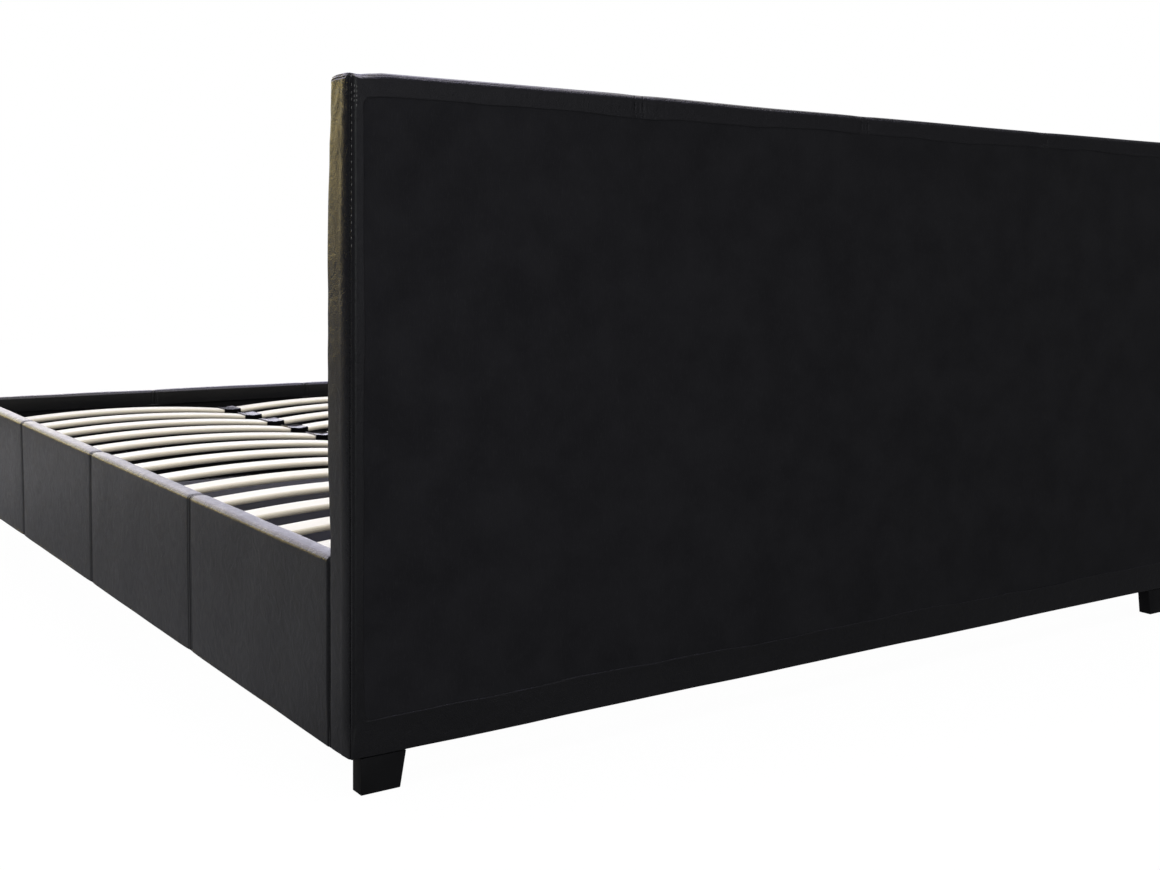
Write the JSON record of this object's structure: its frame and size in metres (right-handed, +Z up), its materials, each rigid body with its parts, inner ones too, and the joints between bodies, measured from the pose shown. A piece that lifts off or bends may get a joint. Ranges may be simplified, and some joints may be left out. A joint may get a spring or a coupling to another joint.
{
  "type": "bed",
  "caption": "Low platform bed with a padded upright headboard, leather-covered rails on short tapered feet, and cambered sprung slats in black caps on lengthwise beams.",
  "frame": {"origin": "on the floor at the centre of the bed's footprint", "axes": "+Z up, +Y towards the headboard, X across the bed"},
  "size_m": [1.68, 2.1192, 0.873],
  "materials": {
    "leather": "grained black leather-look upholstery, semi-matt",
    "back_cloth": "matt black woven backing cloth",
    "foam": "open-cell upholstery foam",
    "pine": "sawn pine",
    "plywood": "thin plywood",
    "black_board": "particle board faced with black melamine paper",
    "birch_slat": "laminated birch, clear varnish",
    "moulded_black": "moulded black plastic",
    "black_steel": "black powder coat",
    "zinc_steel": "zinc-plated steel"
  },
  "bodies": {
    "bed": {"headboard_post_left": "pine", "headboard_post_right": "pine", "headboard_top_rail": "pine", "headboard_mid_rail": "pine", "headboard_bottom_rail": "pine", "headboard_studs": "pine", "headboard_front_board": "plywood", "headboard_foam": "foam", "headboard_cover": "leather", "headboard_back_cloth": "back_cloth", "side_board_left": "black_board", "side_board_right": "black_board", "side_foam_left": "foam", "side_foam_right": "foam", "side_cover_left": "leather", "side_cover_right": "leather", "side_batten_left": "pine", "side_batten_right": "pine", "foot_board": "black_board", "foot_foam": "foam", "foot_cover": "leather", "headboard_foot_left": "moulded_black", "headboard_foot_right": "moulded_black", "foot_end_foot_left": "moulded_black", "foot_end_foot_right": "moulded_black", "corner_blocks": "pine", "head_bracket_left": "black_steel", "head_bracket_right": "black_steel", "corner_bracket_left": "black_steel", "corner_bracket_right": "black_steel", "beam_left": "black_steel", "beam_right": "black_steel", "beam_hangers": "black_steel", "beam_leg_left": "black_steel", "beam_leg_right": "black_steel", "slat_row_01": "birch_slat", "slat_row_02": "birch_slat", "slat_row_03": "birch_slat", "slat_row_04": "birch_slat", "slat_row_05": "birch_slat", "slat_row_06": "birch_slat", "slat_row_07": "birch_slat", "slat_row_08": "birch_slat", "slat_row_09": "birch_slat", "slat_row_10": "birch_slat", "slat_row_11": "birch_slat", "slat_row_12": "birch_slat", "slat_row_13": "birch_slat", "slat_row_14": "birch_slat", "side_caps_left": "moulded_black", "side_caps_right": "moulded_black", "beam_caps_left": "moulded_black", "beam_caps_right": "moulded_black", "headboard_bolts": "zinc_steel", "tee_nuts": "zinc_steel", "screws": "zinc_steel", "foot_bolts": "zinc_steel"},
    "glide_left": {"glide_left": "moulded_black"},
    "glide_right": {"glide_right": "moulded_black"}
  },
  "joints": [
    {"name": "glide_left_adjust", "type": "slide", "parent": "bed", "child": "glide_left", "axis": [0, 0, 1], "range_m": [-0.008, 0.01]},
    {"name": "glide_right_adjust", "type": "slide", "parent": "bed", "child": "glide_right", "axis": [0, 0, 1], "range_m": [-0.008, 0.01]}
  ]
}
